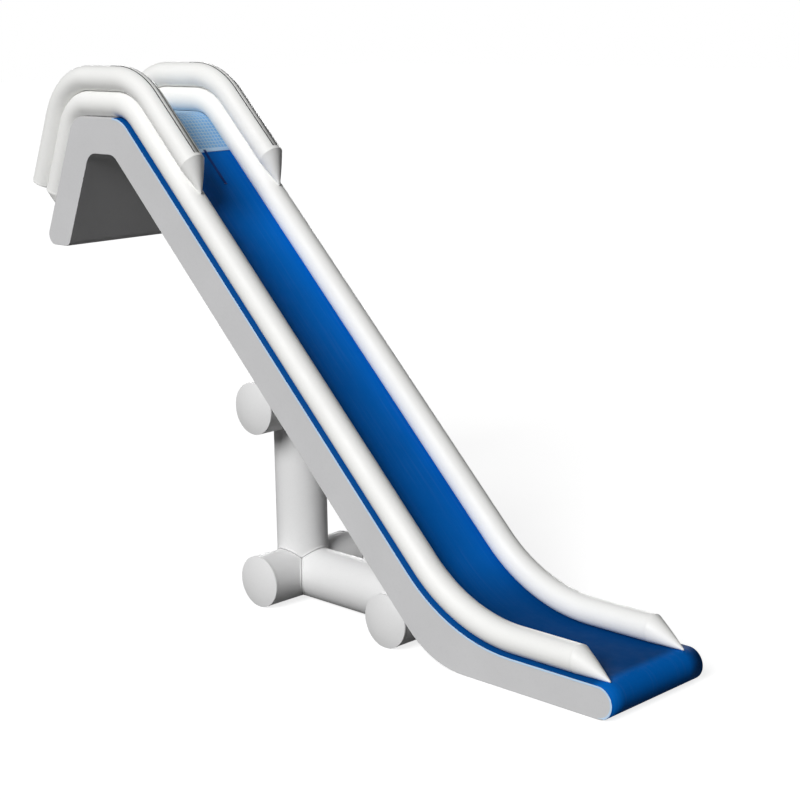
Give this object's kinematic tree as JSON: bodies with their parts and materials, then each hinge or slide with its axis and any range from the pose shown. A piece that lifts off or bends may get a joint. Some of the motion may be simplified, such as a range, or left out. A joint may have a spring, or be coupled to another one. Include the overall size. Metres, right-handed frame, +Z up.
{
  "type": "inflatable water slide",
  "caption": "Inflatable water slide that hooks over a boat's rail, with a sloping air slab, guard tubes, an air-tube support frame, valves and tether rings.",
  "frame": {"origin": "on the plane that the run-out and the support frame rest on, under the middle of the slide's whole length and width", "axes": "+X down the slide from the deck hook to the run-out, +Y to the rider's left, +Z up"},
  "size_m": [9.2834, 1.5, 6.1429],
  "materials": {
    "slab_pvc": "satin coated fabric, light grey",
    "guard_pvc": "satin coated fabric, white",
    "frame_pvc": "satin coated fabric, pale grey",
    "sheet_pvc": "smooth wet-look blue sheet",
    "edge_pvc": "satin light blue tape",
    "mat_foam": "matte light blue foam with a white grid",
    "webbing": "woven navy webbing",
    "patch_pvc": "matte grey welded patch",
    "stainless": "polished stainless steel",
    "valve_housing": "moulded dark grey plastic",
    "valve_parts": "moulded black plastic"
  },
  "bodies": {
    "slide": {"slide_slab": "slab_pvc", "sliding_sheet": "sheet_pvc", "landing_mat": "mat_foam", "edge_tape_right": "edge_pvc", "edge_tape_left": "edge_pvc", "grab_strap": "webbing", "guard_tube_lower_right": "guard_pvc", "guard_tube_upper_right": "guard_pvc", "guard_cone_runout_right": "guard_pvc", "guard_cone_slope_right": "guard_pvc", "guard_cone_deck_right": "guard_pvc", "guard_dome_deck_right": "guard_pvc", "guard_tube_lower_left": "guard_pvc", "guard_tube_upper_left": "guard_pvc", "guard_cone_runout_left": "guard_pvc", "guard_cone_slope_left": "guard_pvc", "guard_cone_deck_left": "guard_pvc", "guard_dome_deck_left": "guard_pvc", "support_post": "frame_pvc", "support_strut": "frame_pvc", "cross_tube_rear": "frame_pvc", "end_cap_rear_right": "frame_pvc", "end_cap_rear_left": "frame_pvc", "cross_tube_front": "frame_pvc", "end_cap_front_right": "frame_pvc", "end_cap_front_left": "frame_pvc", "cross_tube_upper": "frame_pvc", "end_cap_upper_right": "frame_pvc", "end_cap_upper_left": "frame_pvc", "bridge_tape_upper_above": "slab_pvc", "bridge_tape_upper_below": "slab_pvc", "bridge_tape_front_above": "slab_pvc", "bridge_tape_front_below": "slab_pvc", "slab_valve_body": "valve_housing", "slab_valve_spring": "stainless", "frame_valve_body": "valve_housing", "frame_valve_spring": "stainless", "guard_right_valve_body": "valve_housing", "guard_right_valve_spring": "stainless", "guard_left_valve_body": "valve_housing", "guard_left_valve_spring": "stainless", "ring_patch_upper_right": "patch_pvc", "ring_patch_upper_left": "patch_pvc", "ring_patch_lower_right": "patch_pvc", "ring_patch_lower_left": "patch_pvc"},
    "slab_valve_cap": {"slab_valve_cap": "valve_parts"},
    "slab_valve_poppet": {"slab_valve_poppet": "valve_parts"},
    "frame_valve_cap": {"frame_valve_cap": "valve_parts"},
    "frame_valve_poppet": {"frame_valve_poppet": "valve_parts"},
    "guard_left_valve_cap": {"guard_left_valve_cap": "valve_parts"},
    "guard_left_valve_poppet": {"guard_left_valve_poppet": "valve_parts"},
    "guard_right_valve_cap": {"guard_right_valve_cap": "valve_parts"},
    "guard_right_valve_poppet": {"guard_right_valve_poppet": "valve_parts"},
    "d_ring_upper_right": {"d_ring_upper_right": "stainless"},
    "d_ring_upper_left": {"d_ring_upper_left": "stainless"},
    "d_ring_lower_right": {"d_ring_lower_right": "stainless"},
    "d_ring_lower_left": {"d_ring_lower_left": "stainless"}
  },
  "joints": [
    {"name": "slab_valve_cap_hinge", "type": "hinge", "parent": "slide", "child": "slab_valve_cap", "pos_m": [-1.86908, 0.33, 4.05451], "axis": [0, 1, 0], "range_deg": [0, 165]},
    {"name": "slab_valve_poppet_slide", "type": "slide", "parent": "slide", "child": "slab_valve_poppet", "axis": [0.7071, 0, 0.7071], "range_m": [0, 0.006], "stiffness_N_per_m": 200, "springref_m": -0.004, "deforming": ["slab_valve_spring"]},
    {"name": "frame_valve_cap_hinge", "type": "hinge", "parent": "slide", "child": "frame_valve_cap", "pos_m": [-0.87115, 0, 1.284], "axis": [0, 1, 0], "range_deg": [0, 165]},
    {"name": "frame_valve_poppet_slide", "type": "slide", "parent": "slide", "child": "frame_valve_poppet", "axis": [1, 0, 0], "range_m": [0, 0.006], "stiffness_N_per_m": 200, "springref_m": -0.004, "deforming": ["frame_valve_spring"]},
    {"name": "guard_left_valve_cap_hinge", "type": "hinge", "parent": "slide", "child": "guard_left_valve_cap", "pos_m": [-4.52883, 0.6, 5.09616], "axis": [0, 1, 0], "range_deg": [0, 165]},
    {"name": "guard_left_valve_poppet_slide", "type": "slide", "parent": "slide", "child": "guard_left_valve_poppet", "axis": [0.9171, 0, -0.3987], "range_m": [0, 0.006], "stiffness_N_per_m": 200, "springref_m": -0.004, "deforming": ["guard_left_valve_spring"]},
    {"name": "guard_right_valve_cap_hinge", "type": "hinge", "parent": "slide", "child": "guard_right_valve_cap", "pos_m": [-4.52883, -0.6, 5.09616], "axis": [0, 1, 0], "range_deg": [0, 165]},
    {"name": "guard_right_valve_poppet_slide", "type": "slide", "parent": "slide", "child": "guard_right_valve_poppet", "axis": [0.9171, 0, -0.3987], "range_m": [0, 0.006], "stiffness_N_per_m": 200, "springref_m": -0.004, "deforming": ["guard_right_valve_spring"]},
    {"name": "d_ring_upper_right_swing", "type": "hinge", "parent": "slide", "child": "d_ring_upper_right", "pos_m": [-1.37235, -0.45, 3.59738], "axis": [0, 1, 0], "range_deg": [-40, 130]},
    {"name": "d_ring_upper_left_swing", "type": "hinge", "parent": "slide", "child": "d_ring_upper_left", "pos_m": [-1.37235, 0.45, 3.59738], "axis": [0, 1, 0], "range_deg": [-40, 130]},
    {"name": "d_ring_lower_right_swing", "type": "hinge", "parent": "slide", "child": "d_ring_lower_right", "pos_m": [0.87567, -0.45, 1.34936], "axis": [0, 1, 0], "range_deg": [-40, 130]},
    {"name": "d_ring_lower_left_swing", "type": "hinge", "parent": "slide", "child": "d_ring_lower_left", "pos_m": [0.87567, 0.45, 1.34936], "axis": [0, 1, 0], "range_deg": [-40, 130]}
  ]
}
